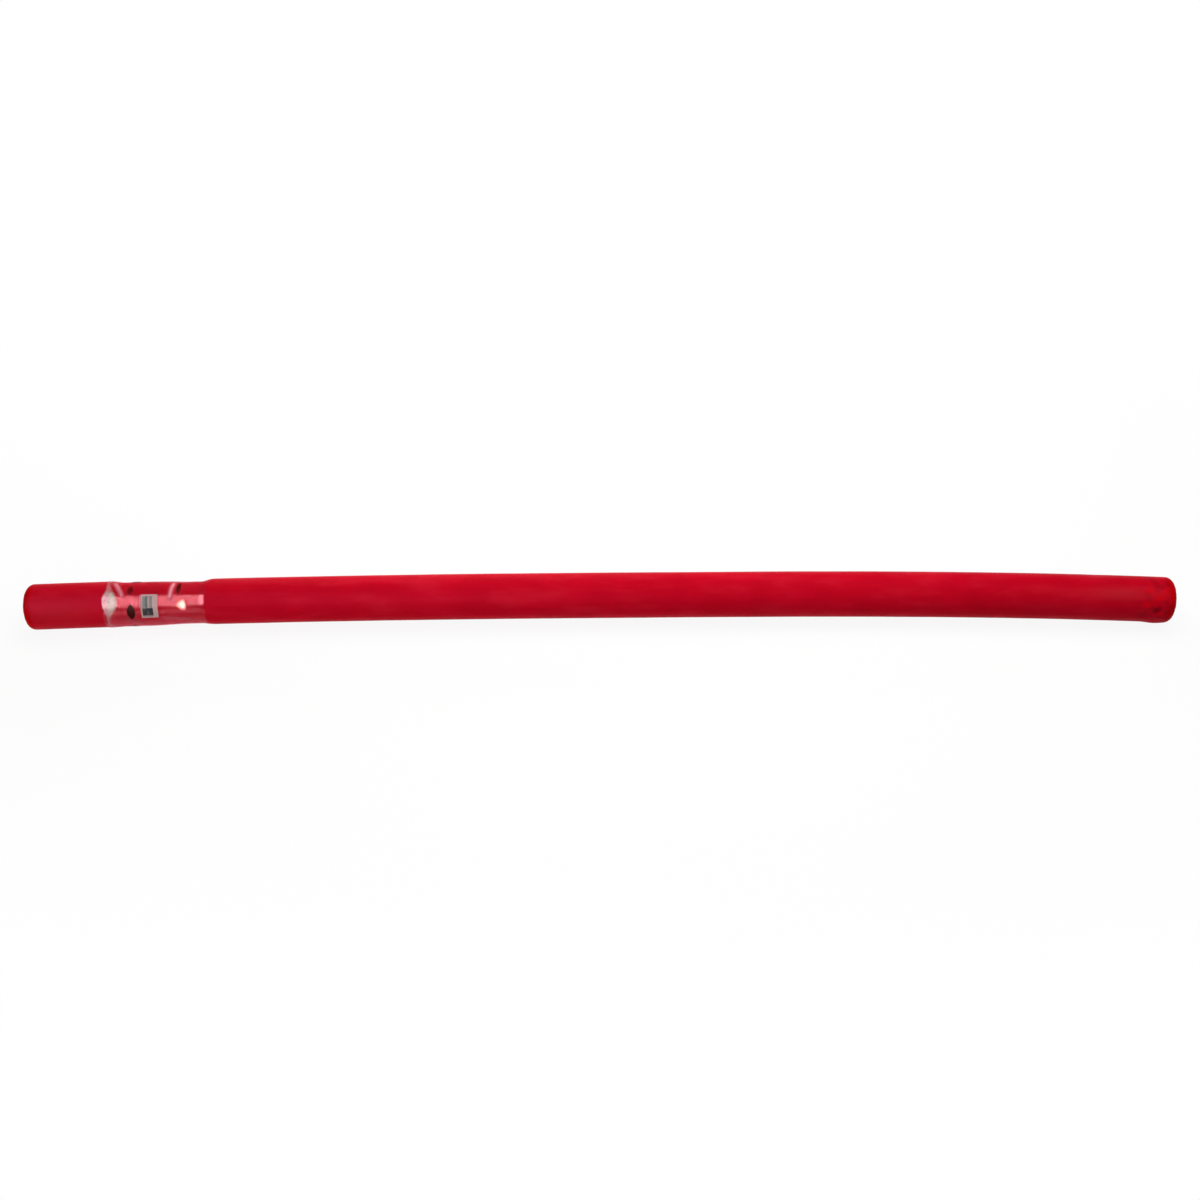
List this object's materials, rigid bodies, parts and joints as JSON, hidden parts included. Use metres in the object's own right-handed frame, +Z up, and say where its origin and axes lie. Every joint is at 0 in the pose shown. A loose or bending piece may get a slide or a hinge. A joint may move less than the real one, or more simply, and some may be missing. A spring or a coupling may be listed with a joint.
{
  "type": "pool noodle",
  "caption": "Long round foam pool noodle with a central bore, slightly bowed, with a clear shrunk film sleeve and a paper sticker near one end.",
  "frame": {"origin": "on the ground, at the middle of the noodle's box seen from above", "axes": "+X along the noodle from the end with the film sleeve to the bare end, +Y to the side that the noodle bows to, +Z up"},
  "size_m": [1.5016, 0.0728, 0.0597],
  "materials": {
    "foam": "red closed-cell polyethylene foam, satin skin with a fine cell texture",
    "clear_film": null,
    "sticker_paper": "white label paper with plain bars"
  },
  "bodies": {
    "root": {"foam_noodle": "foam", "film_sleeve": "clear_film", "barcode_sticker": "sticker_paper"}
  },
  "joints": []
}
